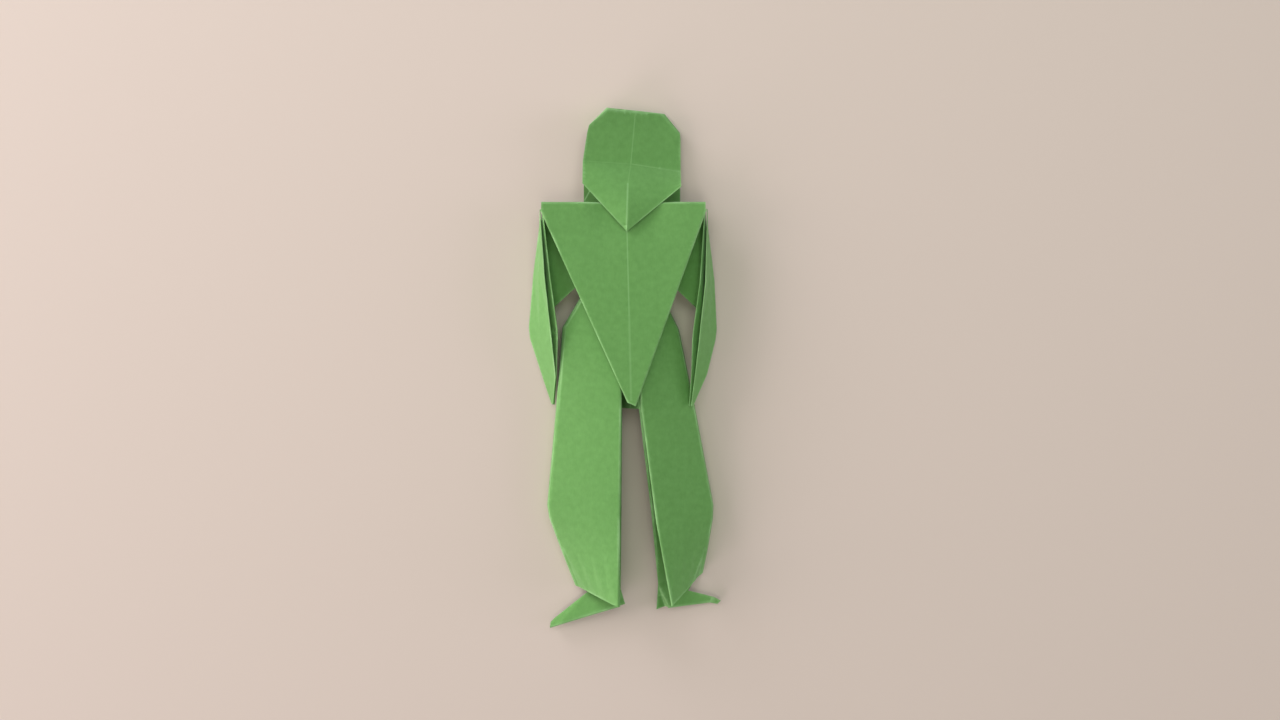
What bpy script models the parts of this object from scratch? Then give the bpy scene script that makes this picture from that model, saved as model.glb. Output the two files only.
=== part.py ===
"""Human figure folded from one square of green paper, lying on its back.

The whole figure is a single sheet. Its middle surface is lofted panel by panel,
with a round bend at every fold, and then given the thickness of the paper.
X runs across the figure, Y from the feet to the head, Z up from the table.
Sizes are in millimetres. Places along Y are measured from the shoulder fold.
"""

import math
import bpy
import bmesh
from mathutils import Vector

MM = 0.001

# Paper
SHEET = 0.15
REST = SHEET / 2
FOLD_GAP = 1.2
BEND_STEPS = 5
FACE_STEPS = 6

# Head: a wide strip that folds over at the top and comes down in front
HEAD_WIDTH = 24.1
HEAD_AXIS = 0.5
HEAD_TOP = 22.35
HEAD_TOP_WIDTH = 13.6
HEAD_TOP_AXIS = 1.4
HEAD_LEAN = 0.053
HEAD_CUT_LEFT = (4.5, 4.0)
HEAD_CUT_RIGHT = (4.2, 4.5)
HEAD_LIFT = 4.0
HEAD_ROLL = 2.1
HEAD_FOLD_DEPTH = 0.8
HEAD_FOLD_END = 0.3
BROW = 16.6
BROW_INSET = 1.2
BROW_LEAN = 0.7
CREASE = 9.2
CREASE_LEAN = 1.1
CREASE_LIFT = 3.6
CREASE_ROLL = 1.1
JAW = 4.2
JAW_LEAN = 0.4
JAW_LIFT = 6.0
CHIN = (-0.7, -7.4)
CHIN_LIFT = 8.3
RIDGE_MIDDLE = (-0.1, 1.2)
RIDGE_LIFT = 7.7

# Back: the strip behind the shoulders, which narrows to the waist
BACK_LEFT = -11.7
BACK_RIGHT = 11.0
WAIST_LEFT = -7.1
WAIST_RIGHT = 3.5

# Torso: the triangle in front, with both sides turned under
SHOULDER_LEFT = -21.5
SHOULDER_RIGHT = 18.4
SHOULDER_DROP = 1.9
SHOULDER_LIFT = 7.3
SHOULDER_SAG = 1.4
TORSO_AXIS = -0.6
TORSO_RIDGE = 0.15
TIP_LEFT = (-0.1, -48.9)
TIP_RIGHT = (1.2, -49.5)
TIP_LIFT = 9.8
HEM_WIDTH = 2.6
HEM_GAP = 0.5

# Yoke: the panel behind the torso, with a lower edge like a wide chevron
YOKE_LEFT = (-20.0, -26.7)
YOKE_RIGHT = (17.6, -26.9)
YOKE_PEAK = (-0.9, -9.6)
YOKE_SIDE_LIFT = 3.4
YOKE_SIDE_RISE = 0.4
YOKE_SIDE_INSET = 0.4
YOKE_PEAK_LIFT = 5.8
PLEAT_GAP = 4.8
PLEAT_DEPTH = 1.8

# Arms: two plies on edge, joined by a fold along the underside. Each station gives the
# distance outward from the shoulder corner, the place along Y and the lift. The plies part
# at their upper edges by a share of the full opening at each station.
ARM_FOLD_GAP = 0.7
ARM_ROOT = 5.6
ARM_ROOT_LIFT = 3.2
ARM_OPENING = 1.65
ARM_STEP = 0.25
LEFT_ARM_OPENING = (0.2, 0.8, 1, 0.9, 0.1, 0.1)
RIGHT_ARM_OPENING = (0.2, 0.8, 1, 1, 0.55, 0.3)
LEFT_ARM_FOLD = (
    (1.0, -5.6, 3.2), (2.1, -17.1, 1.3), (3.3, -30.4, 0.6),
    (3.0, -33.2, 0.6), (-0.1, -42.6, 0.8), (-2.4, -49.5, 0.8),
)
LEFT_ARM_EDGE = (
    (0.4, -1.7, 6.0), (-0.8, -17.7, 7.6), (-2.3, -31.3, 7.2),
    (-2.5, -33.2, 7.0), (-3.35, -42.5, 4.8), (-2.5, -49.3, 1.7),
)
RIGHT_ARM_FOLD = (
    (1.4, -5.6, 3.2), (2.2, -18.8, 1.3), (2.8, -30.8, 0.6),
    (2.5, -33.5, 0.6), (0.3, -41.9, 2.8), (-3.2, -49.5, 5.2),
)
RIGHT_ARM_EDGE = (
    (0.5, -1.7, 6.0), (0.0, -19.4, 7.6), (-1.3, -31.4, 7.2),
    (-1.5, -33.7, 7.1), (-2.45, -41.9, 6.4), (-3.4, -49.8, 5.7),
)

# Legs: two plies, joined by a puffed fold along the outer side. The outline's places along Y
# are measured from the crotch, and so are those of the open edges and of the foot. The
# fold's gap is given at each point of the outline. The rear ply's open edge droops as a lip,
# by a share of its own lift.
CROTCH = -50.4
CROTCH_LEFT = -1.9
CROTCH_RIGHT = 2.3
PLY_ARCH = 0.35
LEG_FOLD_DEPTH = 0.9
LEG_HEM_WIDTH = 1.5
LIP_WIDTH = 0.45
LIP_SHARE = 0.08
FOOT_GAP = 0.6
LEFT_LEG = {
    "outline": (
        (-11.6, 28.6), (-16.7, 19.9), (-18.3, 0), (-20.5, -23.9),
        (-20.0, -27.2), (-17.1, -35.1), (-13.65, -44.1),
    ),
    "fold gap": (5.0, 5.6, 4.5, 3.8, 3.6, 2.8, 1.6),
    "rear edge": ((CROTCH_LEFT, 30, REST), (CROTCH_LEFT, 0, 2.0), (-2.3, -44.6, 3.0)),
    "front edge": ((-2.6, 29.2, 6.2), (-2.1, 19.7, 7.4), (-2.3, 0, 8.7), (-2.8, -47.4, 10.0)),
    "instep": ((-10.6, -45.8, 1.2), (-18.7, -52.3, 0.8), (-19.7, -53.3, 1.0)),
    "sole": ((-2.7, -48.6, 3.8), (-17.5, -53.4, 2.4), (-19.8, -54.2, 1.9)),
    "heel": ((-1.2, -48.3, 3.0),),
}
RIGHT_LEG = {
    "outline": (
        (8.5, 26.9), (12.2, 19.4), (16.2, 0), (20.7, -23.9),
        (20.6, -27.2), (19.3, -35.1), (18.2, -40.8),
    ),
    "fold gap": (4.4, 4.6, 4.0, 4.2, 4.1, 3.4, 2.0),
    "rear edge": (
        (CROTCH_RIGHT, 30, REST), (CROTCH_RIGHT, 19, 2.6), (CROTCH_RIGHT, 0, 6.7),
        (5.3, -25.5, 5.2), (7.0, -43.6, 1.8),
    ),
    "front edge": (
        (2.5, 28.4, 5.2), (2.5, 19.7, 6.4), (3.1, 0, 8.0),
        (6.7, -27.2, 9.3), (10.4, -47.35, 8.8),
    ),
    "instep": ((14.5, -45.4, 1.2), (21.0, -47.1, 1.0), (22.6, -48.0, 1.0)),
    "sole": ((9.7, -49.2, 2.5), (19.9, -48.2, 0.9), (22.0, -48.6, 0.75)),
    "heel": ((8.7, -49.4, 0.8), (6.6, -50.0, 1.6)),
}

# The columns of points that the head and the back share, in half widths from the left
COLUMNS = (0, 0.44, 0.76, 1, 1.24, 1.56, 2)


def at(x, y, z):
    return Vector((x, y, z)) * MM


def through(corners, places):
    """Points along a chain of corners; place 1.5 is halfway along its second span."""
    points = []
    for place in places:
        k = min(int(place), len(corners) - 2)
        points.append(corners[k].lerp(corners[k + 1], place - k))
    return points


def beside(edge, rail):
    """Points of a falling edge level with those of a rail, and the edge's own end."""
    points = []
    for p in rail[:-1]:
        k = 0
        while k < len(edge) - 2 and edge[k + 1].y > p.y:
            k += 1
        share = (edge[k].y - p.y) / (edge[k].y - edge[k + 1].y)
        points.append(edge[k].lerp(edge[k + 1], max(0, share)))
    return points + [edge[-1]]


def between(a, b, steps, arch=0.0):
    """The rails that divide the panel from rail a to rail b, arched upward."""
    rails = []
    for k in range(1, steps):
        f = k / steps
        rise = at(0, 0, 4 * arch * f * (1 - f))
        rails.append([p.lerp(q, f) + rise for p, q in zip(a, b)])
    return rails


def curve(low, middle, high, f):
    """The rail at share f of the arched panel from one rail to another through a middle one."""
    rail = []
    for p, q, r in zip(low, middle, high):
        pull = q * 2 - (p + r) / 2
        rail.append(p.lerp(pull, f).lerp(pull.lerp(r, f), f))
    return rail


def direction(rail, i):
    """The direction in which a rail runs at its point i."""
    return (rail[min(i + 1, len(rail) - 1)] - rail[max(i - 1, 0)]).normalized()


def across(rail, i, step):
    """The part of a step that is square to the rail, made one unit long.

    At the rail's two ends the step's slant is kept, so that a fold ends in line with its ply.
    """
    along = direction(rail, i)
    slant = step.dot(along)
    square = step - along * slant
    if 0 < i < len(rail) - 1:
        return square.normalized()
    return square.normalized() + along * max(-1, min(1, slant / square.length))


def inset(rail, inner, distance):
    """A rail moved level by a distance, toward the rail on the inner side of its panel."""
    moved = []
    for i, p in enumerate(rail):
        step = inner[i] - p
        step.z = 0
        moved.append(p + across(rail, i, step) * distance * MM)
    return moved


def bend(a, b, inner, depths=None):
    """The rails of a bend from ply edge a to ply edge b, round unless depths are given."""
    rails = [[] for _ in range(1, BEND_STEPS)]
    for i, (p, q) in enumerate(zip(a, b)):
        middle = (p + q) / 2
        half = (p - q) / 2
        out = middle - inner[i]
        out -= half * (out.dot(half) / half.length_squared)
        out = across(a, i, out) * (half.length if depths is None else depths[i] * MM)
        for k, rail in enumerate(rails, 1):
            angle = math.pi * k / BEND_STEPS
            rail.append(middle + half * math.cos(angle) + out * math.sin(angle))
    return rails


def loft(sheet, rails):
    """Skins neighbouring rails with strips of four-sided faces."""
    grid = [[sheet.verts.new(p) for p in rail] for rail in rails]
    for low, high in zip(grid, grid[1:]):
        for i in range(len(low) - 1):
            sheet.faces.new((low[i], low[i + 1], high[i + 1], high[i]))


def head_row(left, middle, right):
    return through([at(*left), at(*middle), at(*right)], COLUMNS)


def head_side(side):
    """The place of the head's straight side, -1 for the left and 1 for the right."""
    return HEAD_AXIS + side * HEAD_WIDTH / 2


def head_top(low, high):
    """The top edge and its two cut corners, at one lift on the left and another on the right."""
    rows = []
    for side, lift, cut in ((-1, low, HEAD_CUT_LEFT), (1, high, HEAD_CUT_RIGHT)):
        x = HEAD_TOP_WIDTH / 2 * side
        corner = at(HEAD_TOP_AXIS + x, HEAD_TOP - HEAD_LEAN * x, lift)
        rows.append((corner, corner + at(cut[0] * side, -cut[1], 0)))
    (left, left_cut), (right, right_cut) = rows
    return [left_cut, *through([left, right], (0, 0.3, 0.5, 0.7, 1)), right_cut]


def head_rows(top, crease, roll):
    """The rows of one ply of the head, from its top edge to the cross crease."""
    brow = (top + crease) / 2
    return (
        head_top(top + HEAD_ROLL * roll, top - HEAD_ROLL * roll),
        head_row(
            (head_side(-1) + BROW_INSET, BROW + BROW_LEAN, brow + HEAD_ROLL * roll),
            (HEAD_AXIS, BROW, brow),
            (head_side(1), BROW - BROW_LEAN, brow - HEAD_ROLL * roll),
        ),
        head_row(
            (head_side(-1), CREASE + CREASE_LEAN, crease + CREASE_ROLL * roll),
            (HEAD_AXIS, CREASE + CREASE_LEAN / 2, crease),
            (head_side(1), CREASE - CREASE_LEAN, crease - CREASE_ROLL * roll),
        ),
    )


def build_head(sheet):
    """Front of the head, the fold over its top and the strip behind it, down to the waist."""
    front_top, front_brow, front_crease = head_rows(HEAD_LIFT, CREASE_LIFT, 1)
    rear_top, rear_brow, rear_crease = head_rows(REST, REST, 0)
    left_jaw = (head_side(-1), JAW + JAW_LEAN, JAW_LIFT)
    right_jaw = (head_side(1), JAW - JAW_LEAN, JAW_LIFT)
    chin = head_row(left_jaw, (*CHIN, CHIN_LIFT), right_jaw)
    cheeks = [p.lerp(q, 0.5) for p, q in zip(front_crease, chin)]
    bulge = through([cheeks[0], at(*RIDGE_MIDDLE, RIDGE_LIFT), cheeks[-1]], COLUMNS)
    face = [curve(chin, bulge, front_crease, k / FACE_STEPS) for k in range(FACE_STEPS)]
    loft(sheet, [*face, front_crease, front_brow, front_top])
    depths = [HEAD_FOLD_END, *[HEAD_FOLD_DEPTH] * (len(COLUMNS) - 2), HEAD_FOLD_END]
    loft(sheet, [front_top, *bend(front_top, rear_top, front_brow, depths), rear_top])
    neck = head_row((head_side(-1), 0, REST), (0, 0, REST), (head_side(1), 0, REST))
    loft(sheet, [rear_top, rear_brow, rear_crease, neck, back_foot(REST)])


def chevron(x):
    """The place along Y of the yoke's lower edge at a given x."""
    corner = YOKE_LEFT if x < YOKE_PEAK[0] else YOKE_RIGHT
    return corner[1] + (YOKE_PEAK[1] - corner[1]) * (x - corner[0]) / (YOKE_PEAK[0] - corner[0])


def back_foot(lift):
    """Where the back meets the pleats at its sides and the pelvis in the middle."""
    left = chevron(WAIST_LEFT)
    right = chevron(WAIST_RIGHT)
    middle = (CROTCH_LEFT + CROTCH_RIGHT) / 2
    return [
        at(BACK_LEFT, chevron(BACK_LEFT), lift),
        at(WAIST_LEFT, left, lift),
        at(CROTCH_LEFT, left, lift),
        at(middle, left, lift),
        at(CROTCH_RIGHT, right, lift),
        at(WAIST_RIGHT, right, lift),
        at(BACK_RIGHT, chevron(BACK_RIGHT), lift),
    ]


def shoulder_row(y, drop, sag=SHOULDER_SAG):
    """A row across the shoulders, which sags where the head lies on it."""
    row = []
    for x in (SHOULDER_LEFT, BACK_LEFT, WAIST_LEFT, TORSO_AXIS, WAIST_RIGHT, BACK_RIGHT, SHOULDER_RIGHT):
        share = min(1, abs(x - TORSO_AXIS) / (HEAD_WIDTH / 2))
        row.append(at(x, y, SHOULDER_LIFT - drop - sag * (1 - share * share)))
    return row


def build_hem(sheet, edge, inside, widths):
    """Turns an edge of a panel under, toward the panel's inside rail."""
    under = [p - at(0, 0, HEM_GAP) for p in edge]
    hem = [r + (q - p).normalized() * width for p, q, r, width in zip(edge, inside, under, widths)]
    loft(sheet, [edge, *bend(edge, under, inside), under, hem])


def build_torso(sheet):
    """The triangle in front, with the fold along the shoulders above it."""
    edge = -(FOLD_GAP + SHEET) / 2
    front = shoulder_row(edge, 0)
    rear = shoulder_row(edge, FOLD_GAP)
    corners = shoulder_row(-SHOULDER_DROP, 0)
    tip = through([at(*TIP_LEFT, TIP_LIFT), at(*TIP_RIGHT, TIP_LIFT)], [k / 6 for k in range(7)])
    rows = [corners, *between(shoulder_row(-SHOULDER_DROP, 0, 0), tip, 6), tip]
    for row in rows:
        row[3] += at(0, 0, TORSO_RIDGE) * ((row[6] - row[0]).length / (corners[6] - corners[0]).length)
    loft(sheet, [front, *rows])
    loft(sheet, [front, *bend(front, rear, corners), rear])

    # Both sides are folded under, as a hem that narrows toward the tip
    widths = [min(HEM_WIDTH * MM, 0.3 * (row[6] - row[0]).length) for row in rows]
    for side, inner in ((0, 1), (6, 5)):
        build_hem(sheet, [row[side] for row in rows], [row[inner] for row in rows], widths)
    return rear


def build_yoke(sheet, top):
    """The panel behind the torso, which falls to a valley beside each arm."""
    foot = back_foot(REST + PLEAT_GAP)
    low = [
        at(*YOKE_LEFT, YOKE_SIDE_LIFT), foot[0], foot[1], at(*YOKE_PEAK, YOKE_PEAK_LIFT),
        foot[5], foot[6], at(*YOKE_RIGHT, YOKE_SIDE_LIFT),
    ]
    first, second, third = between(top, low, 4)
    for side, outward in ((0, -1), (6, 1)):
        second[side] = top[side] + at(0.1 * outward, 0, 0)
        second[side].y = -ARM_ROOT * MM
        second[side].z = ARM_ROOT_LIFT * MM
        first[side] = top[side].lerp(second[side], 0.5)
        third[side] = second[side].lerp(low[side], 0.4) - at(outward * YOKE_SIDE_INSET, 0, 0)
        third[side].z = (YOKE_SIDE_LIFT + YOKE_SIDE_RISE) * MM
    loft(sheet, [top, first, second, third, low])

    # Pleats on both sides of the waist join the yoke to the back, and flatten at the waist
    back = back_foot(REST)
    for k, depths in ((0, (PLEAT_DEPTH, 0)), (5, (0, PLEAT_DEPTH))):
        upper = foot[k:k + 2]
        lower = back[k:k + 2]
        above = [p + at(0, 5, 0) for p in lower]
        loft(sheet, [upper, *bend(upper, lower, above, depths), lower])
    return [(top[k], first[k], second[k]) for k in (0, 6)]


def build_arm(sheet, root, side, fold_line, edge_line, opening):
    """One arm, whose inner ply grows out of the yoke along the root."""
    corner = SHOULDER_LEFT if side < 0 else SHOULDER_RIGHT
    fold = [at(corner + side * x, y, z) for x, y, z in fold_line]
    outer = [at(corner + side * x, y, z) for x, y, z in edge_line]
    inner = [p - at(side * ARM_OPENING * share, 0, ARM_STEP) for p, share in zip(outer, opening)]
    apart = [at(side * ARM_FOLD_GAP, 0, 0)] * len(fold)
    inner_foot = [p - d / 2 for p, d in zip(fold, apart)]
    outer_foot = [p + d / 2 for p, d in zip(fold, apart)]
    inner[0] = root[0]
    inner_foot[0] = root[2]
    outer_foot[0] = root[2] + apart[0]
    middle = between(inner, inner_foot, 2)[0]
    middle[0] = root[1]
    heart = [(p + q) / 2 for p, q in zip(outer, inner)]
    loft(sheet, [inner, middle, inner_foot])
    loft(sheet, [inner_foot, *bend(inner_foot, outer_foot, heart), outer_foot])
    loft(sheet, [outer_foot, *between(outer_foot, outer, 2), outer])


def build_leg(sheet, waist, shape):
    """One leg: rear ply, fold along the outer side, front ply, and the foot at its end."""
    crotch = at(0, CROTCH, 0)
    side = [at(x, y, REST) + crotch for x, y in shape["outline"]]
    rear_inner = beside([at(*p) + crotch for p in shape["rear edge"]], side)
    front_inner = beside([at(*p) + crotch for p in shape["front edge"]], side)
    rear_outer = inset(side, front_inner, LEG_FOLD_DEPTH + SHEET / 2)
    front_outer = [p + at(0, 0, gap) for p, gap in zip(rear_outer, shape["fold gap"])]
    depths = [LEG_FOLD_DEPTH] * len(side)
    lip = [
        p + (q - p).normalized() * LIP_WIDTH * MM + at(0, 0, LIP_SHARE * p.z / MM)
        for p, q in zip(rear_inner[:-1], rear_outer)
    ]
    for edge in ([waist[0]] + rear_outer, [waist[1]] + rear_inner):
        loft(sheet, [edge, [waist[1], *lip, rear_inner[-1]]])
    loft(sheet, [rear_outer, *bend(rear_outer, front_outer, front_inner, depths), front_outer])
    panel = between(front_outer, front_inner, 4, PLY_ARCH)
    loft(sheet, [front_outer, *panel, front_inner])
    build_hem(sheet, front_inner, panel[-1], [LEG_HEM_WIDTH * MM] * len(side))

    # The foot is a flap of two plies, joined by the fold along its sole
    instep = [at(*p) + crotch for p in shape["instep"]]
    sole = [at(*p) + crotch for p in shape["sole"]]
    heel = [at(*p) + crotch for p in shape["heel"]]
    loft(sheet, [[rear_outer[-1]] + instep, [rear_inner[-1]] + sole])
    loft(sheet, [[rear_inner[-1], p] for p in [sole[0]] + heel])
    under = [p - at(0, 0, FOOT_GAP) for p in sole]
    inside = [p.lerp(q, 0.7) - at(0, 0, FOOT_GAP) for p, q in zip(sole, instep)]
    loft(sheet, [sole, *bend(sole, under, instep), under, inside])
    return rear_inner


def build_sheet():
    """The middle surface of the paper, as one open mesh."""
    sheet = bmesh.new()
    build_head(sheet)
    left_root, right_root = build_yoke(sheet, build_torso(sheet))
    build_arm(sheet, left_root, -1, LEFT_ARM_FOLD, LEFT_ARM_EDGE, LEFT_ARM_OPENING)
    build_arm(sheet, right_root, 1, RIGHT_ARM_FOLD, RIGHT_ARM_EDGE, RIGHT_ARM_OPENING)
    waist = back_foot(REST)
    left_inner = build_leg(sheet, (waist[1], waist[2]), LEFT_LEG)
    right_inner = build_leg(sheet, (waist[5], waist[4]), RIGHT_LEG)

    # Crotch panel, between the rear plies of the legs
    left = [waist[2]] + left_inner[:3]
    right = [waist[4]] + right_inner[:3]
    middle = [waist[3]] + between(left_inner[:3], right_inner[:3], 2)[0]
    loft(sheet, [left, middle, right])

    bmesh.ops.remove_doubles(sheet, verts=sheet.verts, dist=0.00001)
    bmesh.ops.recalc_face_normals(sheet, faces=sheet.faces)
    return sheet


def green_paper():
    material = bpy.data.materials.new("green_paper")
    material.use_nodes = True
    shader = material.node_tree.nodes["Principled BSDF"]
    shader.inputs["Base Color"].default_value = (0.15, 0.33, 0.1, 1)
    shader.inputs["Roughness"].default_value = 0.85
    shader.inputs["Metallic"].default_value = 0
    return material


def centre(figure):
    """Moves the figure so that its box stands on the table, centred on the origin."""
    bpy.context.view_layer.update()
    box = figure.evaluated_get(bpy.context.evaluated_depsgraph_get()).bound_box
    low = [min(corner[k] for corner in box) for k in range(3)]
    high = [max(corner[k] for corner in box) for k in range(3)]
    figure.location = (-(low[0] + high[0]) / 2, -(low[1] + high[1]) / 2, -low[2])


def main():
    for item in list(bpy.data.objects):
        bpy.data.objects.remove(item, do_unlink=True)
    collection = bpy.data.collections.new("origami_figure")
    bpy.context.scene.collection.children.link(collection)
    mesh = bpy.data.meshes.new("folded_sheet")
    sheet = build_sheet()
    sheet.to_mesh(mesh)
    sheet.free()
    figure = bpy.data.objects.new("folded_sheet", mesh)
    figure.data.materials.append(green_paper())
    collection.objects.link(figure)

    thickness = figure.modifiers.new("Paper thickness", "SOLIDIFY")
    thickness.thickness = SHEET * MM
    thickness.offset = 0
    thickness.use_even_offset = True
    thickness.use_quality_normals = True
    centre(figure)


main()
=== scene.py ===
import math
import bpy
import bmesh
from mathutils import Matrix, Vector
from mathutils.kdtree import KDTree


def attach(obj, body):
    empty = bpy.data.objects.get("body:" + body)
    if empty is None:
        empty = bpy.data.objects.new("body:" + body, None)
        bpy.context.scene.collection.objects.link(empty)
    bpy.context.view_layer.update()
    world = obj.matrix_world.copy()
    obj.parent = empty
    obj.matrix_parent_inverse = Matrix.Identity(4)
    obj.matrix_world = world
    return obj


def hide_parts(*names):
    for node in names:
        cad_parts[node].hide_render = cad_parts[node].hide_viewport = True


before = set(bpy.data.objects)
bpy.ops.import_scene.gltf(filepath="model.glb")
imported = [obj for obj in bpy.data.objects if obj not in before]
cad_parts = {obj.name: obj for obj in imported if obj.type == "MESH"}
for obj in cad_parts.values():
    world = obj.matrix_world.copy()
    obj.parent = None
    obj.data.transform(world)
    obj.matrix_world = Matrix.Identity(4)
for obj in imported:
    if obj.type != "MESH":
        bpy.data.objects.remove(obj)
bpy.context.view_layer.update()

# The camera looks straight down on the table, a little to the right of the figure's middle.
# From 25 cm up it takes in 32 cm of table across.
camera_height = 0.25
view_width = 0.32
camera_data = bpy.data.cameras.new("camera")
camera_data.sensor_width = 36
camera_data.lens = camera_data.sensor_width * camera_height / view_width
camera_data.clip_start = 0.005
camera_data.clip_end = 20
camera = bpy.data.objects.new("camera", camera_data)
camera.location = (0.003816, 0.00225, camera_height)
bpy.context.scene.collection.objects.link(camera)
bpy.context.scene.camera = camera
bpy.context.scene.view_settings.view_transform = "Standard"

# The folded sheet: one square of uncoated green craft paper, creased by hand and folded into
# the head, back, torso, arms, legs and feet. A copy of the solid gets a fine mesh, so that its
# panels can bow a little and its folds can carry their lighter lines of wear and painted highlight.
merge_distance = 0.000002
bpy.ops.object.select_all(action="DESELECT")
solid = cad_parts["folded_sheet"]
solid.select_set(True)
bpy.context.view_layer.objects.active = solid
bpy.ops.object.duplicate()
paper = bpy.context.view_layer.objects.active
paper.name = "paper_figure"
paper.data.name = "paper_figure"
bpy.ops.object.mode_set(mode="EDIT")
bpy.ops.mesh.select_all(action="SELECT")
bpy.ops.mesh.remove_doubles(threshold=merge_distance)
bpy.ops.object.mode_set(mode="OBJECT")

# Points along every edge where the sheet is cut or folded sharply. The soft corner of the right
# cheek and the crease across the face are no folds, so their gentler edges are left out. Each of
# the two is a box with its ends along X, Y and Z, and the angles are in degrees.
cheek = ((0.0065, 0.013), (0.0405, 0.0475), (0.004, 0.009))
brow = ((-0.0095, 0.0125), (0.0485, 0.0535), (0.003, 0.009))
bend_angle = 12
fold_angle = 24
soft_angle = 60
point_spacing = 0.0003


def inside(point, box):
    """Whether a point lies in a box."""
    return all(low < value < high for value, (low, high) in zip(point, box))


def nearest(points):
    """A tree whose find gives the point nearest to a place, and its distance third."""
    tree = KDTree(len(points))
    for k, point in enumerate(points):
        tree.insert(point, k)
    tree.balance()
    return tree


folds = []
bends = []
mesh = bmesh.new()
mesh.from_mesh(paper.data)
for edge in mesh.edges:
    if len(edge.link_faces) < 2:
        continue
    a, b = (v.co for v in edge.verts)
    middle = (a + b) / 2
    steps = max(1, round((b - a).length / point_spacing))
    along = [a.lerp(b, k / steps) for k in range(steps + 1)]
    angle = math.degrees(edge.calc_face_angle())
    if angle > bend_angle:
        bends += along
    if angle > (soft_angle if inside(middle, cheek) or inside(middle, brow) else fold_angle):
        folds += along
mesh.free()
near_fold = nearest(folds)
near_bend = nearest(bends)


def clear_selection(kind):
    """Leaves nothing of the sheet selected, ready to select some of its VERT or EDGE elements."""
    bpy.ops.object.mode_set(mode="EDIT")
    bpy.ops.mesh.select_mode(type=kind)
    bpy.ops.mesh.select_all(action="DESELECT")
    bpy.ops.object.mode_set(mode="OBJECT")


# Long edges are halved until none is longer than the panel's detail. An edge that leaves a fold
# has a finer one.
panel_detail = 0.0016
fold_detail = 0.0008
fold_reach = 0.0003
most_rounds = 9
for _ in range(most_rounds):
    clear_selection("EDGE")
    points = paper.data.vertices
    at_fold = [near_fold.find(point.co)[2] < fold_reach for point in points]
    long_edges = 0
    for edge in paper.data.edges:
        a, b = edge.vertices
        detail = fold_detail if at_fold[a] != at_fold[b] else panel_detail
        edge.select = (points[a].co - points[b].co).length > detail
        long_edges += edge.select
    if not long_edges:
        break
    bpy.ops.object.mode_set(mode="EDIT")
    bpy.ops.mesh.subdivide(number_cuts=1)
    bpy.ops.mesh.select_all(action="SELECT")
    bpy.ops.mesh.quads_convert_to_tris()
    bpy.ops.object.mode_set(mode="OBJECT")

# Between its bends the sheet is smoothed, and so is the cheek's soft corner
bend_margin = 0.0005
cheek_margin = 0.0004
clear_selection("VERT")
for point in paper.data.vertices:
    point.select = near_bend.find(point.co)[2] > bend_margin
    if inside(point.co, cheek) and near_fold.find(point.co)[2] > cheek_margin:
        point.select = True
bpy.ops.object.mode_set(mode="EDIT")
bpy.ops.mesh.vertices_smooth(factor=0.5, repeat=24)
bpy.ops.object.mode_set(mode="OBJECT")

# The panels bow by a few tenths of a millimetre over about 16 mm
bow = bpy.data.textures.new("bow", "CLOUDS")
bow.noise_scale = 0.016
bow.noise_depth = 1
warp = paper.modifiers.new("Bowed panels", "DISPLACE")
warp.texture = bow
warp.texture_coords = "LOCAL"
warp.direction = "Z"
warp.strength = 0.0005
warp.mid_level = 0.4
bpy.ops.object.modifier_apply(modifier=warp.name)
bpy.ops.object.shade_smooth_by_angle(angle=math.radians(fold_angle))
points = paper.data.vertices
for edge in paper.data.edges:
    middle = (points[edge.vertices[0]].co + points[edge.vertices[1]].co) / 2
    if inside(middle, cheek) and near_fold.find(middle)[2] > cheek_margin / 2:
        edge.use_edge_sharp = False

# How light the sheet is painted at each point, for its wear and for a painted highlight along its
# edges: 1 on a fold or cut edge and 0 from that reach on
wear_and_highlight_reach = 0.0004
wear_and_highlight = paper.data.attributes.new("wear_and_highlight", "FLOAT", "POINT")
wear_and_highlight.data.foreach_set("value", [max(0, 1 - near_fold.find(point.co)[2] / wear_and_highlight_reach) for point in points])

# Its paper: a mottled green with fine fibres, painted lighter along its folds, cut edges and old
# creases, partly as wear and partly as a painted highlight where they catch the light
low_green = (0.127, 0.315, 0.078)
high_green = (0.146, 0.348, 0.091)
worn_and_highlight_green = (0.34, 0.62, 0.26)
green = bpy.data.materials.new("green_paper")
green.use_nodes = True
nodes = green.node_tree.nodes
links = green.node_tree.links
shader = nodes["Principled BSDF"]
place = nodes.new("ShaderNodeTexCoord")


def noise(scale, detail, stretch=(1, 1, 1)):
    """Noise fixed to the sheet, with so many features to the metre."""
    mapping = nodes.new("ShaderNodeMapping")
    mapping.inputs["Scale"].default_value = stretch
    links.new(place.outputs["Object"], mapping.inputs["Vector"])
    texture = nodes.new("ShaderNodeTexNoise")
    texture.inputs["Scale"].default_value = scale
    texture.inputs["Detail"].default_value = detail
    links.new(mapping.outputs["Vector"], texture.inputs["Vector"])
    return texture.outputs["Fac"]


def ramp(value, *stops):
    """A colour read from stops of a position and a colour or, as a number, a grey."""
    node = nodes.new("ShaderNodeValToRGB")
    elements = node.color_ramp.elements
    while len(elements) < len(stops):
        elements.new(0.5)
    for element, (position, colour) in zip(elements, stops):
        element.position = position
        element.color = (*colour, 1) if isinstance(colour, tuple) else (colour, colour, colour, 1)
    links.new(value, node.inputs["Fac"])
    return node.outputs["Color"]


def mix(factor, first, second, blend="MIX"):
    """Two colours mixed, through the colour sockets of a Mix node."""
    node = nodes.new("ShaderNodeMix")
    node.data_type = "RGBA"
    node.blend_type = blend
    for socket, value in ((node.inputs[0], factor), (node.inputs[6], first), (node.inputs[7], second)):
        if isinstance(value, bpy.types.NodeSocket):
            links.new(value, socket)
        elif isinstance(value, tuple):
            socket.default_value = (*value, 1)
        else:
            socket.default_value = value
    return node.outputs[2]


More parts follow.
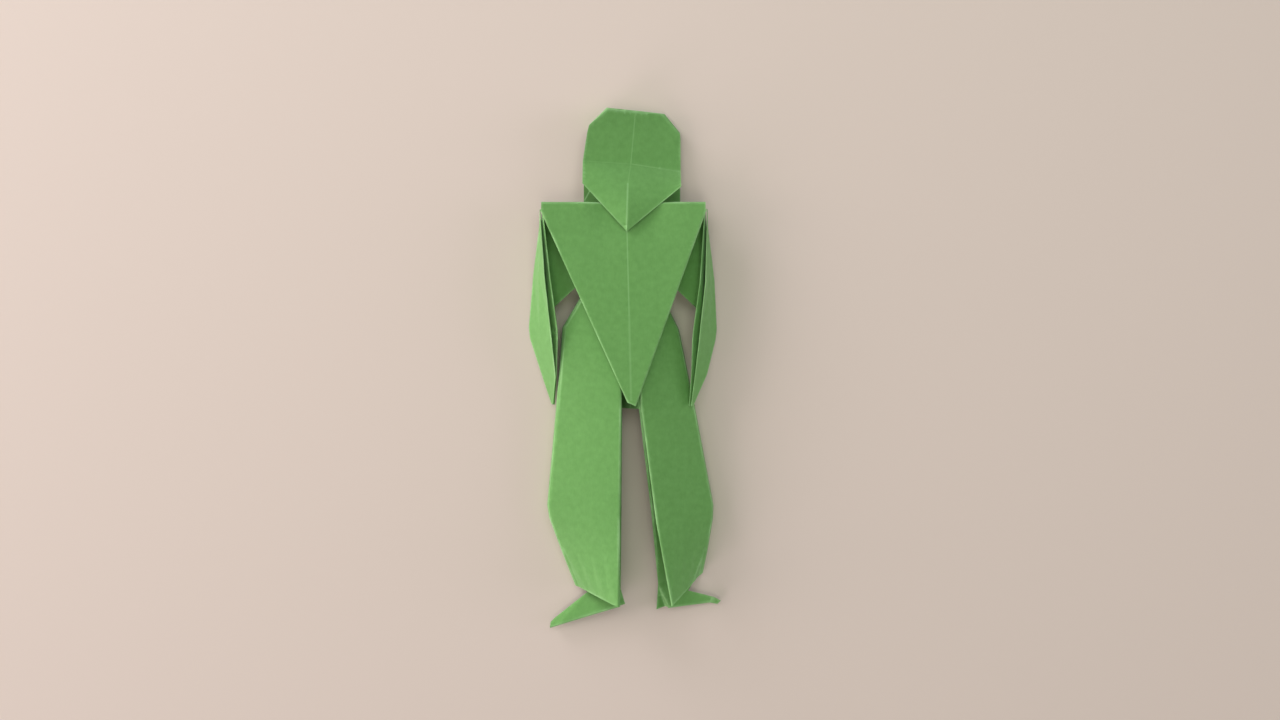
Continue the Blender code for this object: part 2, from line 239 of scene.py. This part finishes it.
def math_node(operation, *values):
    """A number worked out from numbers or other nodes' outputs."""
    node = nodes.new("ShaderNodeMath")
    node.operation = operation
    for socket, value in zip(node.inputs, values):
        if isinstance(value, bpy.types.NodeSocket):
            links.new(value, socket)
        else:
            socket.default_value = value
    return node.outputs[0]


def line(start, end, width):
    """How near a place lies to a straight line drawn on the sheet, 1 on it and 0 beside it."""
    start, end = Vector(start), Vector(end)
    along = end - start
    share_x = math_node("MULTIPLY", px, along.x / along.length_squared)
    share_y = math_node("MULTIPLY", py, along.y / along.length_squared)
    share = math_node("ADD", share_x, share_y)
    share = math_node("SUBTRACT", share, start.dot(along) / along.length_squared)
    share = math_node("MINIMUM", math_node("MAXIMUM", share, 0), 1)
    dx = math_node("SUBTRACT", px, math_node("MULTIPLY_ADD", share, along.x, start.x))
    dy = math_node("SUBTRACT", py, math_node("MULTIPLY_ADD", share, along.y, start.y))
    gap = math_node("SQRT", math_node("MULTIPLY_ADD", dx, dx, math_node("MULTIPLY", dy, dy)))
    return math_node("SUBTRACT", 1, math_node("MINIMUM", math_node("DIVIDE", gap, width), 1))


split = nodes.new("ShaderNodeSeparateXYZ")
links.new(place.outputs["Object"], split.inputs[0])
px, py, pz = split.outputs

# Creases left by earlier folds on the front of the head and torso and beside the neck, drawn as
# light lines: partly the creases' own marks, partly a painted highlight along their ridges and on
# an inner layer's edge beside the neck. Where each starts and ends, its half width and how much
# it shows
front_height = 0.0025
neck_height = 0.0008
front = math_node("GREATER_THAN", pz, front_height)
beside_neck = math_node("LESS_THAN", pz, neck_height)
crease_highlights = 0
for start, end, width, weight in (
    ((0.0027, 0.0633), (0.00155, 0.0504), 0.0002, 0.3),
    ((0.00155, 0.0504), (0.00085, 0.0452), 0.0002, 0.15),
    ((0.00085, 0.0452), (0.00055, 0.0334), 0.00035, 0.45),
    ((-0.0102, 0.0511), (0.0018, 0.0505), 0.0002, 0.12),
    ((0.0018, 0.0505), (0.0138, 0.0489), 0.0002, 0.25),
    ((0.00067, 0.0333), (0.0012, 0.013), 0.00025, 0.35),
    ((0.0012, 0.013), (0.00167, -0.0073), 0.0004, 0.22),
):
    crease_highlights = math_node("MAXIMUM", crease_highlights, math_node("MULTIPLY", line(start, end, width), weight))
crease_highlights = math_node("MULTIPLY", crease_highlights, front)
# Painted highlight: a light line on an inner layer's edge in the shade beside the neck
neck_edge_highlight = math_node("MULTIPLY", line((-0.0082, 0.0455), (-0.01, 0.0422), 0.00025), beside_neck)
crease_highlights = math_node("MAXIMUM", crease_highlights, neck_edge_highlight)

mottle = ramp(noise(700, 6), (0.3, low_green), (0.7, high_green))
fibres = ramp(noise(2600, 3, (1, 0.35, 1)), (0.3, 0.45), (0.7, 0.55))
body = mix(0.3, mottle, fibres, "OVERLAY")
# The lighter green on folds, cut edges and creases is partly wear and partly a painted highlight
mark = nodes.new("ShaderNodeAttribute")
mark.attribute_name = "wear_and_highlight"
patches = ramp(noise(160, 4), (0.35, 0.15), (0.65, 1))
rubbed_and_highlit = math_node("MULTIPLY", math_node("MULTIPLY", mark.outputs["Fac"], patches), 0.75)
rubbed_and_highlit = math_node("MAXIMUM", rubbed_and_highlit, crease_highlights)
links.new(mix(rubbed_and_highlit, body, worn_and_highlight_green), shader.inputs["Base Color"])
links.new(ramp(noise(900, 3), (0.3, 0.78), (0.7, 0.92)), shader.inputs["Roughness"])
shader.inputs["Specular IOR Level"].default_value = 0.2
shader.inputs["Sheen Weight"].default_value = 0.2
shader.inputs["Sheen Roughness"].default_value = 0.5

# The paper's tooth, and then its small dents over it
normal = None
for grain, strength, depth in ((noise(3200, 4), 0.2, 0.00004), (noise(420, 3), 0.1, 0.0002)):
    bump = nodes.new("ShaderNodeBump")
    bump.inputs["Strength"].default_value = strength
    bump.inputs["Distance"].default_value = depth
    links.new(grain, bump.inputs["Height"])
    if normal:
        links.new(normal, bump.inputs["Normal"])
    normal = bump.outputs["Normal"]
links.new(normal, shader.inputs["Normal"])
paper.data.materials.clear()
paper.data.materials.append(green)
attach(paper, "root")
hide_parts("folded_sheet")

# The table under the figure is a plain pale board. Its top lies a hair below the solid's back,
# so that the two never share a plane.
table_width = 6
table_gap = 0.00005
bpy.ops.mesh.primitive_plane_add(size=table_width, location=(0, 0, -table_gap))
table = bpy.context.object
table.name = "table_top"
board = bpy.data.materials.new("pale_board")
board.use_nodes = True
board_shader = board.node_tree.nodes["Principled BSDF"]
board_shader.inputs["Base Color"].default_value = (0.69, 0.585, 0.505, 1)
board_shader.inputs["Roughness"].default_value = 0.7
board_shader.inputs["Specular IOR Level"].default_value = 0.2
table.data.materials.append(board)

# Daylight comes mostly from windows low on the left, with softer light from the top of the
# picture, from overhead and back from the right. Each lamp is a disc 30 degrees across as the
# figure sees it. It is given by its turn from the left toward the top and its height, both in
# degrees, its distance in metres, how bright it makes a white surface that faces it, and its
# colour.
lamp_spread = math.radians(30)
world = bpy.data.worlds.new("room")
world.use_nodes = True
background = world.node_tree.nodes["Background"]
background.inputs["Color"].default_value = (0.96, 1, 0.94, 1)
background.inputs["Strength"].default_value = 0.3
bpy.context.scene.world = world
for name, turn, height, distance, strength, colour in (
    ("window_near", -45, 12, 1.6, 0.42, (1.15, 0.92, 1.15)),
    ("window_middle", 0, 12, 0.8, 0.48, (1.1, 0.97, 0.97)),
    ("window_far", 45, 12, 0.8, 0.57, (1.0, 0.96, 1.08)),
    ("window_top", 30, 32, 0.8, 0.1, (1, 1, 1)),
    ("ceiling_left", 60, 60, 0.55, 0.095, (1, 0.98, 1)),
    ("ceiling_right", 120, 60, 0.55, 0.135, (0.85, 1.05, 0.95)),
    ("ceiling_near", 270, 60, 2, 0.108, (1, 1.05, 0.85)),
    ("wall_right", 180, 12, 2, 0.3, (1.05, 0.88, 1.2)),
):
    turn, height = math.radians(turn), math.radians(height)
    level = math.cos(height)
    toward = Vector((-level * math.cos(turn), level * math.sin(turn), math.sin(height)))
    lamp_data = bpy.data.lights.new(name, "AREA")
    lamp_data.shape = "DISK"
    lamp_data.size = 2 * distance * math.tan(lamp_spread / 2)
    lamp_data.energy = strength * (math.pi * distance) ** 2
    lamp_data.color = colour
    lamp = bpy.data.objects.new(name, lamp_data)
    lamp.location = toward * distance
    lamp.rotation_euler = toward.to_track_quat("Z", "Y").to_euler()
    bpy.context.scene.collection.objects.link(lamp)
